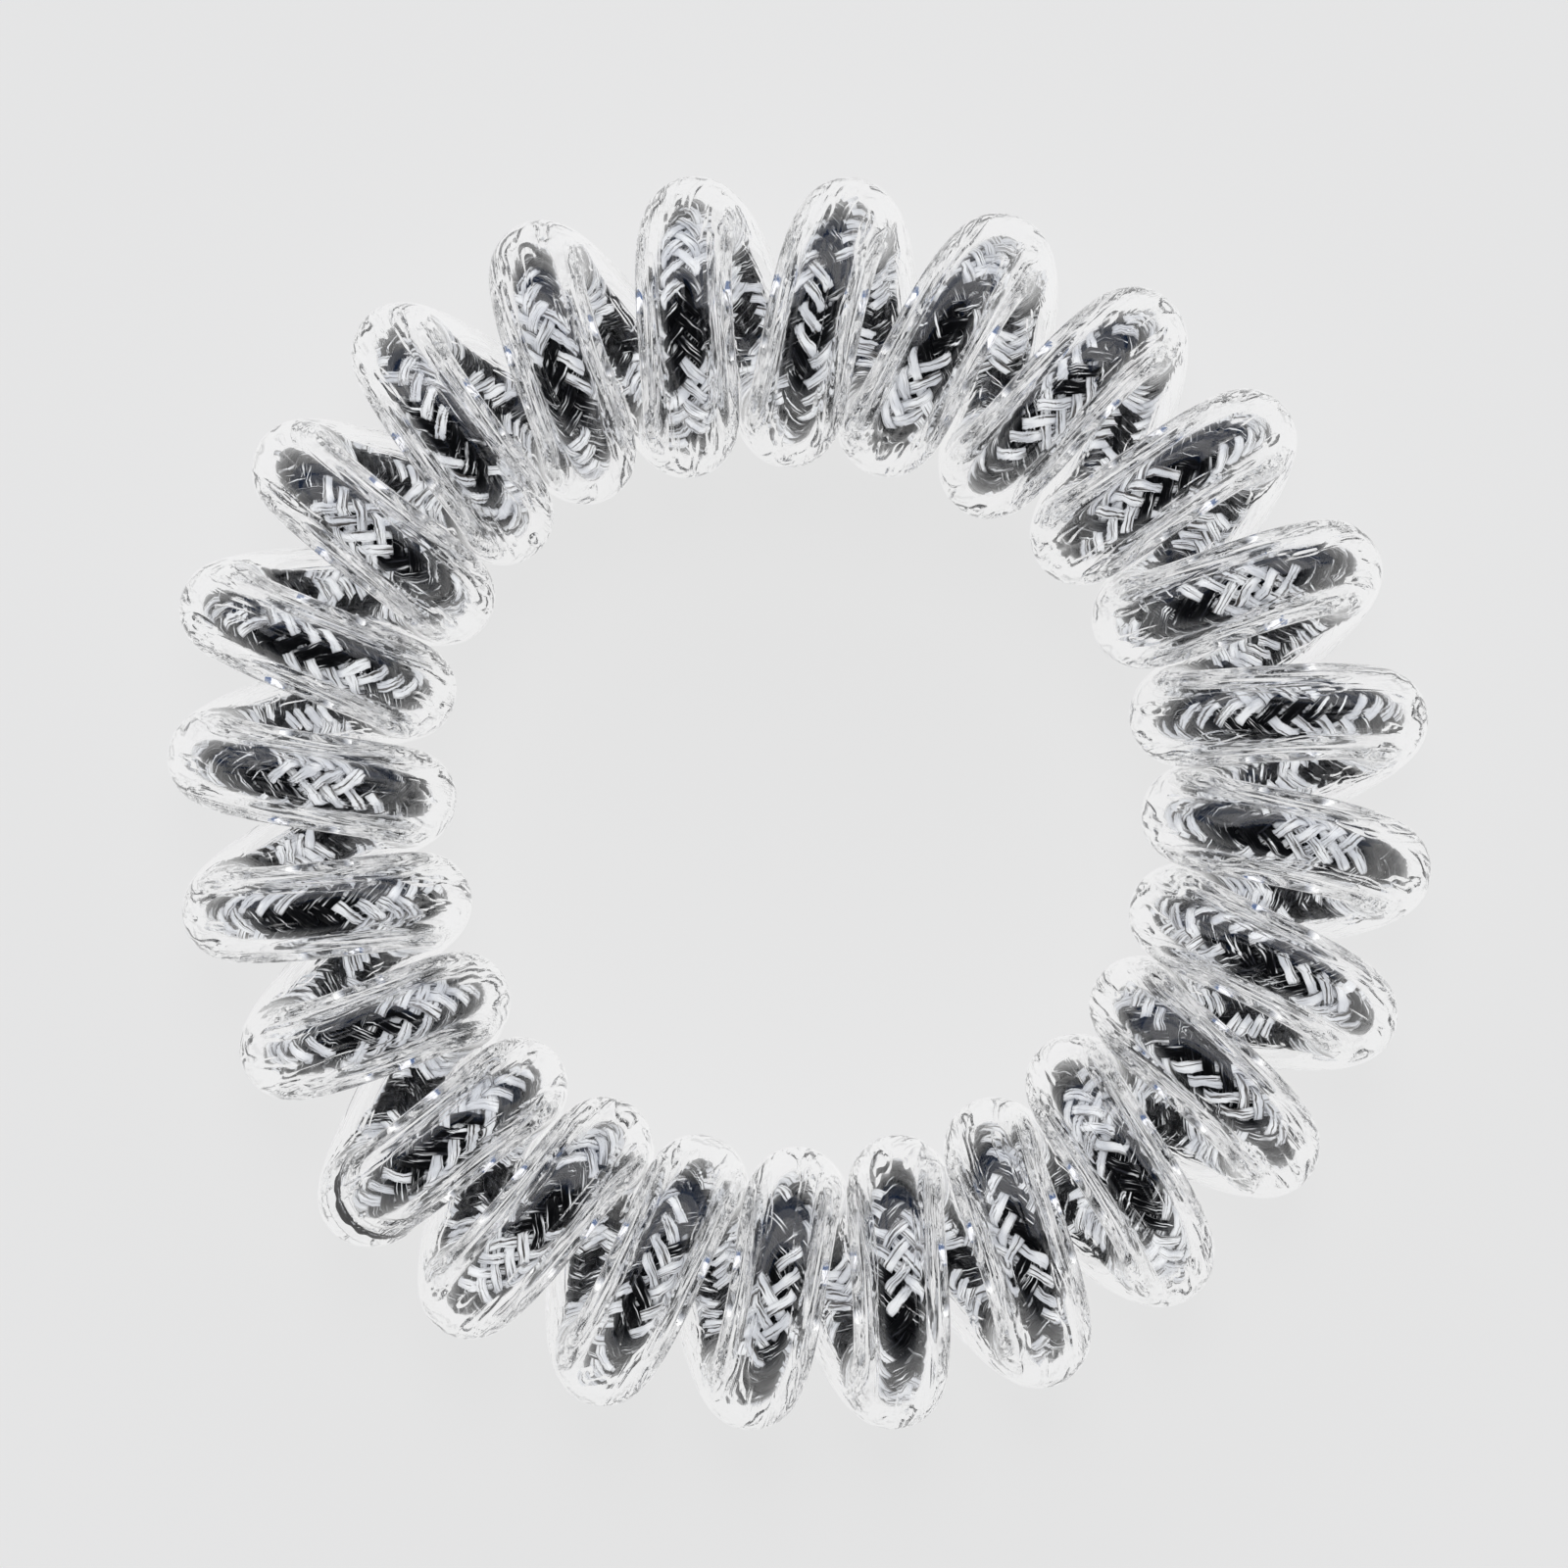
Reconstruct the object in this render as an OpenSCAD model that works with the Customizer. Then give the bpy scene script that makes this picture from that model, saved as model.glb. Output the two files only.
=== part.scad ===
// Spiral hair tie: one clear strand wound into a closed coil round a ring, with a
// braided cord inside it and its two ends welded together at one outer loop.
// It lies flat: +Z is up, the surface is z = 0 and the origin is under its middle.
// Turns are counted clockwise as seen from above, the first one just past +Y.

/* [Strand] */
// Diameter of the clear strand
strand_d = 4; // [3:0.1:4.6]
// Diameter of the braided cord inside the strand
core_d = 2.1; // [1.4:0.1:2.8]
// Gap between the cord and the bore that it lies in
core_clearance = 0.06; // [0.03:0.01:0.12]

/* [Coil] */
// Number of turns round the ring
turns = 24; // [18:1:30]
// Width of the coil from the hole to the rim
coil_w = 12; // [10:0.1:15]
// Gap between the two neighbouring turns that lie closest, at the hole
turn_gap = 0.08; // [0.05:0.01:0.5]
// How far the most displaced turns stand out from the even ring
sway = 1; // [0:0.1:1.5]
// Shortest upright stretch between a top pass and a bottom pass
side_straight = 0.1; // [0.05:0.05:1]

/* [Weld] */
// Turn whose outer loop holds the weld
weld_turn = 16; // [1:1:18]
// How far the bead of plastic round the weld stands out of the strand
weld_swell = 0.3; // [0.1:0.05:0.8]
// Least extra length of the solid upright between the two cut ends of the cord
weld_plug = 0.4; // [0.2:0.1:1.5]

/* [Hidden] */
$fn = 48;

// One row per turn. The leads are shares of the angle between turns, ahead of even
// spacing. The shifts are shares of the sway, outwards from the even ring.
//            outer  outer  inner  inner
//            lead   shift  lead   shift
TURN_TABLE = [
    [0.32,  0.10, -0.11,  0.00],
    [0.35,  0.00, -0.13,  0.00],
    [0.37, -0.10, -0.05, -0.10],
    [0.37, -0.05,  0.06,  0.00],
    [0.41,  0.10,  0.08,  0.00],
    [0.43,  0.20,  0.10,  0.00],
    [0.42,  0.20,  0.09,  0.05],
    [0.39,  0.25,  0.06,  0.15],
    [0.40,  0.00,  0.04,  0.15],
    [0.41, -0.05,  0.02,  0.05],
    [0.39,  0.15,  0.03,  0.10],
    [0.39,  0.05,  0.04,  0.05],
    [0.33, -0.15,  0.04,  0.05],
    [0.32,  0.20,  0.02,  0.10],
    [0.30,  0.25,  0.01,  0.15],
    [0.20,  0.15,  0.02,  0.35],
    [0.31, -0.55,  0.02,  0.10],
    [0.31, -0.05,  0.06,  0.05],
    [0.32,  0.25,  0.08,  0.20],
    [0.27,  1.05,  0.10,  0.90],
    [0.27,  0.95,  0.05,  1.00],
    [0.25,  1.05, -0.03,  1.10],
    [0.28,  0.70, -0.09,  0.95],
    [0.31,  0.45, -0.11,  0.25],
];
OUTER_LEAD = 0;
OUTER_SHIFT = 1;
INNER_LEAD = 2;
INNER_SHIFT = 3;

// Uprights are slimmer than the half rings by this much a side, so that each end face
// lies whole inside the face that it joins
lap = 0.01;
// Heights are kept to this step, so that faces that meet are truly level
height_step = 0.001;

turn_angle = 360 / turns;
last_turn = turns - 1;
weld_index = weld_turn - 1;
coil_reach = coil_w - strand_d;
bore_d = core_d + 2 * core_clearance;
weld_d = strand_d + 2 * weld_swell;

// A turn's value from its row of the table, which starts again where there are more turns
function row_value(k, column) = TURN_TABLE[k % len(TURN_TABLE)][column];

// The turns next to a turn, round the closed coil
function after(k) = (k + 1) % turns;
function before(k) = (k + last_turn) % turns;

// Plan position at an angle clockwise from +Y
function at_clock(angle, radius) = [radius * sin(angle), radius * cos(angle)];

// Radius of the even ring of inner tips at which a turn just clears the next one
function pair_radius(k) =
    let (
        ahead = row_value(after(k), INNER_LEAD) - row_value(k, INNER_LEAD),
        apart = turn_angle * (1 + ahead),
        shift = sway * (row_value(k, INNER_SHIFT) + row_value(after(k), INNER_SHIFT)) / 2
    )
    (strand_d + turn_gap) / (2 * sin(apart / 2)) - shift;

inner_ring_r = max([for (k = [0:last_turn]) pair_radius(k)]);
outer_ring_r = inner_ring_r + coil_reach;

// Plan position of a turn's tip on a ring, before the whole tie is centred
function tip(k, ring_r, lead, shift) =
    at_clock(
        turn_angle * (k + row_value(k, lead)),
        ring_r + sway * row_value(k, shift)
    );

outer_raw = [for (k = [0:last_turn]) tip(k, outer_ring_r, OUTER_LEAD, OUTER_SHIFT)];
inner_raw = [for (k = [0:last_turn]) tip(k, inner_ring_r, INNER_LEAD, INNER_SHIFT)];

// Middle of the box round the whole tie, which its outer tips set
function half_way(values) = (max(values) + min(values)) / 2;
middle = [half_way([for (p = outer_raw) p.x]), half_way([for (p = outer_raw) p.y])];

outer_tips = [for (p = outer_raw) p - middle];
inner_tips = [for (p = inner_raw) p - middle];

// Radius of the half circle that each pass makes, over the top and under the bottom
top_radii = [for (k = [0:last_turn]) norm(outer_tips[k] - inner_tips[k]) / 2];
low_radii = [for (k = [0:last_turn]) norm(inner_tips[after(k)] - outer_tips[k]) / 2];

// Every bottom pass touches the surface and every top pass reaches the same height, so
// the fullest pair of passes has the shortest upright stretch between them
outer_needs = [for (k = [0:last_turn]) top_radii[k] + low_radii[k]];
inner_needs = [for (k = [0:last_turn]) top_radii[k] + low_radii[before(k)]];
coil_rise = side_straight + max(
    max(outer_needs),
    max(inner_needs),
    outer_needs[weld_index] + weld_plug
);
function level(z) = height_step * round(z / height_step);
top_z = [for (r = top_radii) level(strand_d / 2 + coil_rise - r)];
low_z = [for (r = low_radii) level(strand_d / 2 + r)];
weld_z = (top_z[weld_index] + low_z[weld_index]) / 2;

// Round section of the strand or the cord, with the bore where it has one
module section(d, bore) {
    difference() {
        circle(d = d);
        if (bore > 0)
            circle(d = bore);
    }
}

// Half a ring that stands upright between two plan points, over the top or under the
// bottom, shortened at either end by a small gap
module half_ring(from, to, z, d, bore, over, from_gap = 0, to_gap = 0) {
    run = to - from;
    ring_r = norm(run) / 2;
    from_turn = asin(from_gap / ring_r);
    to_turn = asin(to_gap / ring_r);
    translate([(from.x + to.x) / 2, (from.y + to.y) / 2, z])
        rotate([0, 0, atan2(run.y, run.x)])
            rotate([over ? 90 : -90, 0, 0])
                rotate([0, 0, to_turn])
                    rotate_extrude(angle = 180 - from_turn - to_turn)
                        translate([ring_r, 0])
                            section(d, bore);
}

// Upright stretch that joins two half rings
module upright(at, z_from, z_to, d, bore) {
    translate([at.x, at.y, z_from])
        linear_extrude(z_to - z_from)
            section(d - 2 * lap, bore > 0 ? bore + 2 * lap : 0);
}

// Up the inner side of a turn, over the top and down to its outer tip
module top_pass(k, d, bore, end_gap = 0) {
    upright(inner_tips[k], low_z[before(k)], top_z[k], d, bore);
    half_ring(inner_tips[k], outer_tips[k], top_z[k], d, bore, true, 0, end_gap);
}

// From a turn's outer tip under the bottom to the inner tip of the next turn
module low_pass(k, d, bore, start_gap = 0) {
    half_ring(outer_tips[k], inner_tips[after(k)], low_z[k], d, bore, false, start_gap, 0);
}

// Bead of plastic squeezed out round the weld, whose hole ends inside the strand's wall
module weld_bead() {
    translate([outer_tips[weld_index].x, outer_tips[weld_index].y, weld_z])
        difference() {
            sphere(d = weld_d);
            cylinder(d = (strand_d + bore_d) / 2, h = 2 * weld_d, center = true);
        }
}

// Clear strand, hollow for the cord and solid between the two ends at the weld
module clear_coil() {
    color([0.93, 0.94, 0.95, 0.35])
        union() {
            for (k = [0:last_turn]) {
                top_pass(k, strand_d, bore_d);
                upright(
                    outer_tips[k], low_z[k], top_z[k], strand_d,
                    k == weld_index ? 0 : bore_d
                );
                low_pass(k, strand_d, bore_d);
            }
            weld_bead();
        }
}

// Braided cord that runs round the whole coil and stops just short of the weld
module braided_core() {
    color([0.12, 0.12, 0.13])
        union() {
            for (k = [0:last_turn]) {
                weld_gap = k == weld_index ? core_clearance : 0;
                top_pass(k, core_d, 0, weld_gap);
                if (k != weld_index)
                    upright(outer_tips[k], low_z[k], top_z[k], core_d, 0);
                low_pass(k, core_d, 0, weld_gap);
            }
        }
}

clear_coil();
braided_core();
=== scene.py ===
"""Spiral hair tie: a clear plastic strand with a braided cord inside it, wound into a closed coil.

The strand and every yarn of the braid follow one route, worked out from the turns of the coil. Sizes
are in millimetres until a mesh is made, and the meshes are in metres, in the part's own frame.
"""

from __future__ import annotations

import logging
import math
from dataclasses import dataclass, field
from enum import Enum
from typing import Any, NamedTuple

import bpy
from bpy.types import Material, NodeSocket, NodeTree, Object
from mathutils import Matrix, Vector
from mathutils.noise import noise as smooth_noise

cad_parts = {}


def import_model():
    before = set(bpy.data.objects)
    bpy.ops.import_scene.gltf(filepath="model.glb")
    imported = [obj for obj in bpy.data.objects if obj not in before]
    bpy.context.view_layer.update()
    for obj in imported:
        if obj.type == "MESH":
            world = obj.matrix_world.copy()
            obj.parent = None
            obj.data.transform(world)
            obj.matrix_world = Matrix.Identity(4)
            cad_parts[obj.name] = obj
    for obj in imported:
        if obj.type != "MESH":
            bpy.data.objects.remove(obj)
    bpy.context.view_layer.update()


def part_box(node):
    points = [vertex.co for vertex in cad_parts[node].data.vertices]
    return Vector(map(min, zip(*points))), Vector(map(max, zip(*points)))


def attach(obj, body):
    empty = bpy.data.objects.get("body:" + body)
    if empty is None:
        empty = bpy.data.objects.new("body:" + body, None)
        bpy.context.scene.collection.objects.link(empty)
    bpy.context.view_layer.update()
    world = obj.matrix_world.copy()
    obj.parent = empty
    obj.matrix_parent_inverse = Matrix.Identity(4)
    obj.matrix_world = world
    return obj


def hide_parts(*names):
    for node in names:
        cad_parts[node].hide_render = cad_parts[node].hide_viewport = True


LOG = logging.getLogger("spiral_hair_tie")
MM = 0.001
STRAND_D = 4.0
CORD_D = 2.1
# Air round the cord in the bore
CORD_ROOM = 0.06
VECTOR = "FLOAT_VECTOR"
MATH = "ShaderNodeMath"
VECTOR_MATH = "ShaderNodeVectorMath"
STORED = "GeometryNodeInputNamedAttribute"
STORE = "GeometryNodeStoreNamedAttribute"
# Kind of input for each type of value
SOCKETS = {float: "NodeSocketFloat", int: "NodeSocketInt", Material: "NodeSocketMaterial"}


class Hand(Enum):
    """The way in which a set of yarns turns round the cord, as seen along it."""

    LEFT = -1
    RIGHT = 1


class Shade(Enum):
    """The two colours of yarn in the braid."""

    SILVER = "silver"
    BLACK = "black"


def linear(hex_colour: str) -> tuple[float, float, float, float]:
    """Turns an sRGB hex colour into Blender's linear colour.

    Args:
        hex_colour: The colour, such as "#E4E4E4".

    Returns:
        Red, green, blue and alpha.
    """
    values = []
    for start in (1, 3, 5):
        share = int(hex_colour[start : start + 2], 16) / 255
        values.append(share / 12.92 if share <= 0.04045 else ((share + 0.055) / 1.055) ** 2.4)
    return values[0], values[1], values[2], 1.0


def add(
    tree: NodeTree,
    kind: str,
    inputs: dict[str | int, Any] | None = None,
    **settings: Any,
) -> Any:
    """Adds a node with its settings and feeds its inputs.

    Args:
        tree: The tree that gets the node.
        kind: Blender's name for the type of node.
        inputs: For an input's name or number, a value or the output socket that is linked to it.
        settings: Properties of the node itself.

    Returns:
        The new node.
    """
    node = tree.nodes.new(kind)
    for name, value in settings.items():
        setattr(node, name, value)
    for key, value in (inputs or {}).items():
        if isinstance(value, NodeSocket):
            tree.links.new(value, node.inputs[key])
        else:
            node.inputs[key].default_value = value
    return node


def blank_material(name: str) -> tuple[Material, NodeTree]:
    """Makes a material without nodes, and gives it and its tree.

    Args:
        name: What the material is called.

    Returns:
        The material and its tree.
    """
    material = bpy.data.materials.new(name)
    material.use_nodes = True
    material.node_tree.nodes.clear()
    return material, material.node_tree


def placed(name: str, data: Any) -> Object:
    """Puts a mesh, a lens or a lamp into the scene as an object at the origin.

    Args:
        name: Name of the object.
        data: What the object shows.

    Returns:
        The object.
    """
    thing = bpy.data.objects.new(name, data)
    bpy.context.scene.collection.objects.link(thing)
    return thing


# Turns of the coil, counted clockwise from +Y as seen from above. The leads are shares of the angle
# between turns, ahead of even spacing. The shifts are shares of the sway, outwards from the even ring.
#   outer lead, outer shift, inner lead, inner shift
TURN_TABLE = (
    (0.32, 0.10, -0.11, 0.00),
    (0.35, 0.00, -0.13, 0.00),
    (0.37, -0.10, -0.05, -0.10),
    (0.37, -0.05, 0.06, 0.00),
    (0.41, 0.10, 0.08, 0.00),
    (0.43, 0.20, 0.10, 0.00),
    (0.42, 0.20, 0.09, 0.05),
    (0.39, 0.25, 0.06, 0.15),
    (0.40, 0.00, 0.04, 0.15),
    (0.41, -0.05, 0.02, 0.05),
    (0.39, 0.15, 0.03, 0.10),
    (0.39, 0.05, 0.04, 0.05),
    (0.33, -0.15, 0.04, 0.05),
    (0.32, 0.20, 0.02, 0.10),
    (0.30, 0.25, 0.01, 0.15),
    (0.20, 0.15, 0.02, 0.35),
    (0.31, -0.55, 0.02, 0.10),
    (0.31, -0.05, 0.06, 0.05),
    (0.32, 0.25, 0.08, 0.20),
    (0.27, 1.05, 0.10, 0.90),
    (0.27, 0.95, 0.05, 1.00),
    (0.25, 1.05, -0.03, 1.10),
    (0.28, 0.70, -0.09, 0.95),
    (0.31, 0.45, -0.11, 0.25),
)


class Tip(NamedTuple):
    """The outermost or innermost point of a turn, about the middle of the ring.

    Attributes:
        angle: Radians clockwise from +Y.
        radius: Distance from the middle of the ring.
    """

    angle: float
    radius: float


@dataclass
class CoilRoute:
    """The line that the middle of the strand follows, in millimetres.

    Attributes:
        strand_d: Diameter of the strand.
        coil_h: Height of the coil from the surface to the top.
        coil_w: Width of the coil from the hole to the rim.
        turn_gap: Gap between the two turns that lie closest.
        sway: How far the most displaced turns stand out from the even ring.
        weld_turn: Turn whose outer loop holds the weld, where the route starts and ends.
        weld_lead: How far up that turn's top pass the weld lies from the outer tip, in turns.
        taper: How much narrower the bore and the cord in it would be right at the weld, as a share.
        taper_l: Length over which they narrow.
    """

    strand_d: float
    coil_h: float
    coil_w: float = 12.0
    turn_gap: float = 0.08
    sway: float = 1.0
    weld_turn: int = 16
    weld_lead: float = 0.07
    taper: float = 0.12
    taper_l: float = 0.6
    outer: list[Tip] = field(init=False)
    inner: list[Tip] = field(init=False)
    middle: tuple[float, float] = field(init=False)

    def __post_init__(self) -> None:
        """Works out the tips of every turn and the middle of the whole tie."""
        step = 2 * math.pi / len(TURN_TABLE)
        inner_ring = max(self._pair_radius(k, step) for k in range(len(TURN_TABLE)))
        outer_ring = inner_ring + self.coil_w - self.strand_d
        self.outer = []
        self.inner = []
        for k, (outer_lead, outer_shift, inner_lead, inner_shift) in enumerate(TURN_TABLE):
            self.outer.append(Tip(step * (k + outer_lead), outer_ring + self.sway * outer_shift))
            self.inner.append(Tip(step * (k + inner_lead), inner_ring + self.sway * inner_shift))
        across = [tip.radius * math.sin(tip.angle) for tip in self.outer]
        along = [tip.radius * math.cos(tip.angle) for tip in self.outer]
        self.middle = ((max(across) + min(across)) / 2, (max(along) + min(along)) / 2)

    def _pair_radius(self, k: int, step: float) -> float:
        """Radius of the even ring at which turn k just clears the next one.

        Args:
            k: The turn, counted from 0.
            step: Even angle between turns.

        Returns:
            The radius of the ring of inner tips.
        """
        _, _, lead, shift = TURN_TABLE[k]
        _, _, next_lead, next_shift = TURN_TABLE[(k + 1) % len(TURN_TABLE)]
        apart = step * (1 + next_lead - lead)
        outwards = self.sway * (shift + next_shift) / 2
        return (self.strand_d + self.turn_gap) / (2 * math.sin(apart / 2)) - outwards

    def _turn(self, k: int) -> tuple[Tip, Tip]:
        """The inner and outer tip of turn k, which may lie past the last turn.

        Args:
            k: The turn, counted from 0 and on into the next round.

        Returns:
            The inner tip and the outer tip.
        """
        rounds, own = divmod(k, len(TURN_TABLE))
        whole = 2 * math.pi * rounds
        inner = self.inner[own]
        outer = self.outer[own]
        return Tip(inner.angle + whole, inner.radius), Tip(outer.angle + whole, outer.radius)

    def point(self, place: float) -> Vector:
        """A point of the route.

        A top pass leans evenly from the inner tip to the outer one. The bottom pass takes up the rest
        of the way round the ring, and meets the top passes without a kink.

        Args:
            place: Turns from the first inner tip, where each half turn is one pass.

        Returns:
            The point.
        """
        k = math.floor(place)
        inner, outer = self._turn(k)
        lean = outer.angle - inner.angle
        share = 2 * (place - k)
        if share < 1:
            start, end, side = inner, outer, 1
            angle = inner.angle + lean * share
        else:
            share -= 1
            next_inner, next_outer = self._turn(k + 1)
            start, end, side = outer, next_inner, -1
            next_lean = next_outer.angle - next_inner.angle
            angle = (
                (2 * share**3 - 3 * share**2 + 1) * start.angle
                + (share**3 - 2 * share**2 + share) * lean
                + (3 * share**2 - 2 * share**3) * end.angle
                + (share**3 - share**2) * next_lean
            )
        swing = math.pi * share
        radius = start.radius + (end.radius - start.radius) * (1 - math.cos(swing)) / 2
        rise = (self.coil_h - self.strand_d) / 2
        across = radius * math.sin(angle) - self.middle[0]
        along = radius * math.cos(angle) - self.middle[1]
        return Vector((across, along, self.coil_h / 2 + side * rise * math.sin(swing)))


@dataclass
class RouteLine:
    """Points laid along the route at chosen lengths, ready to carry a strand or a yarn.

    Attributes:
        route: The route that they lie on.
        steps_per_turn: Fine points at which it is measured.
    """

    route: CoilRoute
    steps_per_turn: int = 360
    points: list[Vector] = field(init=False)
    lengths: list[float] = field(init=False)

    def __post_init__(self) -> None:
        """Measures the whole route once, from weld to weld."""
        count = self.steps_per_turn * len(TURN_TABLE)
        start = self.route.weld_turn - 0.5 - self.route.weld_lead
        self.points = [self.route.point(start + i / self.steps_per_turn) for i in range(count + 1)]
        self.lengths = [0.0]
        for before, here in zip(self.points, self.points[1:]):
            self.lengths.append(self.lengths[-1] + (here - before).length)

    @property
    def whole(self) -> float:
        """Length of the whole route."""
        return self.lengths[-1]

    def at(self, wanted: list[float]) -> list[Vector]:
        """The points at rising lengths along the route.

        Args:
            wanted: The rising lengths.

        Returns:
            A point for each length.
        """
        found = []
        i = 0
        for length in wanted:
            while self.lengths[i + 1] < length:
                i += 1
            share = (length - self.lengths[i]) / (self.lengths[i + 1] - self.lengths[i])
            found.append(self.points[i].lerp(self.points[i + 1], share))
        return found

    def base(self, name: str, wanted: list[float], closed: bool) -> Object:
        """Makes an object of bare edges whose points know how far along the route they lie.

        Args:
            name: Name of the object.
            wanted: The rising lengths.
            closed: Whether the last point is joined to the first.

        Returns:
            The object, in metres.
        """
        count = len(wanted)
        edges = [(i, i + 1) for i in range(count - 1)]
        if closed:
            edges.append((count - 1, 0))
        mesh = bpy.data.meshes.new(name)
        mesh.from_pydata([point * MM for point in self.at(wanted)], edges, [])
        known = {"along": wanted, "end_gap": [min(length, self.whole - length) for length in wanted]}
        for attribute, lengths in known.items():
            values = mesh.attributes.new(attribute, "FLOAT", "POINT").data
            values.foreach_set("value", [length * MM for length in lengths])
        return placed(name, mesh)


class Tree:
    """A geometry tree with named inputs, whose result can be kept as a plain mesh."""

    def __init__(self, name: str, sizes: dict[str, Any]) -> None:
        """Starts the tree.

        Args:
            name: Name of the tree.
            sizes: A value for each named input, whose type tells the kind of input.
        """
        self.group = bpy.data.node_groups.new(name, "GeometryNodeTree")
        sockets = self.group.interface
        sockets.new_socket("Geometry", in_out="INPUT", socket_type="NodeSocketGeometry")
        for size, value in sizes.items():
            sockets.new_socket(size, in_out="INPUT", socket_type=SOCKETS[type(value)])
        sockets.new_socket("Geometry", in_out="OUTPUT", socket_type="NodeSocketGeometry")
        self.given = add(self.group, "NodeGroupInput").outputs

    def node(self, kind: str, inputs: dict[str | int, Any] | None = None, **settings: Any) -> Any:
        """Adds a node and gives the node."""
        return add(self.group, kind, inputs, **settings)

    def add(self, kind: str, inputs: dict[str | int, Any] | None = None, **settings: Any) -> Any:
        """Adds a node and gives its first output."""
        return self.node(kind, inputs, **settings).outputs[0]

    def work(self, kind: str, operation: str, *values: Any) -> Any:
        """Adds a node that works something out from its numbered inputs, and gives the result."""
        return self.add(kind, dict(enumerate(values)), operation=operation)

    def near_weld(self, change: Any, reach: Any) -> Any:
        """A share that is 1 along the strand and changes towards the weld, fast at first.

        Args:
            change: What is added to it at the weld.
            reach: Length over which it changes.

        Returns:
            The share.
        """
        gaps = self.work(MATH, "DIVIDE", self.add(STORED, {"Name": "end_gap"}), reach)
        nearness = self.work(MATH, "EXPONENT", self.work(MATH, "MULTIPLY", gaps, -1.0))
        return self.work(MATH, "MULTIPLY_ADD", nearness, change, 1.0)

    def sweep(self, line: Any, section: Any, scale: Any) -> tuple[Any, Any, Any]:
        """Sweeps a section along a line.

        Args:
            line: The curve to follow.
            section: The section's curve.
            scale: How much larger it is at each point of the line.

        Returns:
            The swept body with closed ends, and how far each point lies from the middle of the
            section along the section's own two directions.
        """
        position = self.add("GeometryNodeInputPosition")
        known = {"Geometry": section, "Name": "section_place", "Value": position}
        section = self.add(STORE, known, data_type=VECTOR)
        inputs = {"Curve": line, "Profile Curve": section, "Scale": scale, "Fill Caps": True}
        swept = self.add("GeometryNodeCurveToMesh", inputs)
        place = self.add(STORED, {"Name": "section_place"}, data_type=VECTOR)
        across = self.node("ShaderNodeSeparateXYZ", {0: place}).outputs
        return swept, across[0], across[1]

    def close(self, *bodies: Any) -> None:
        """Ends the tree in real geometry, smooth and in its finish.

        Args:
            bodies: The meshes that the piece is made of.
        """
        joined = self.node("GeometryNodeJoinGeometry")
        for body in bodies:
            self.group.links.new(body, joined.inputs[0])
        smooth = self.add("GeometryNodeSetShadeSmooth", {"Geometry": joined.outputs[0]})
        real = self.add("GeometryNodeRealizeInstances", {"Geometry": smooth})
        dress = {"Geometry": real, "Material": self.given["Finish"]}
        add(self.group, "NodeGroupOutput", {"Geometry": self.add("GeometryNodeSetMaterial", dress)})

    def grow(self, name: str, base: Object, sizes: dict[str, Any]) -> Object:
        """Runs the tree on a base and keeps the result.

        Args:
            name: Name of the finished piece.
            base: The object whose geometry goes in, which is used up.
            sizes: A value for each named input, with lengths in metres.

        Returns:
            The finished piece, a plain mesh with its place in its points.
        """
        modifier = base.modifiers.new("growth", "NODES")
        modifier.node_group = self.group
        for item in self.group.interface.items_tree:
            if item.in_out == "INPUT" and item.name in sizes:
                modifier[item.identifier] = sizes[item.name]
        graph = bpy.context.evaluated_depsgraph_get()
        mesh = bpy.data.meshes.new_from_object(base.evaluated_get(graph), depsgraph=graph)
        base.modifiers.remove(modifier)
        bpy.data.objects.remove(base)
        mesh.name = name
        return placed(name, mesh)


@dataclass(frozen=True)
class Relief:
    """A pattern of ridges that lie along the strand or a yarn.

    Attributes:
        width: Spacing of the ridges.
        length: Length over which a ridge lasts.
        height: Height of the ridges.
    """

    width: float
    length: float
    height: float

    @property
    def pitch(self) -> Vector:
        """How many ridges there are to a metre, across twice and along."""
        return Vector((1 / self.width, 1 / self.width, 1 / self.length)) / MM


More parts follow.
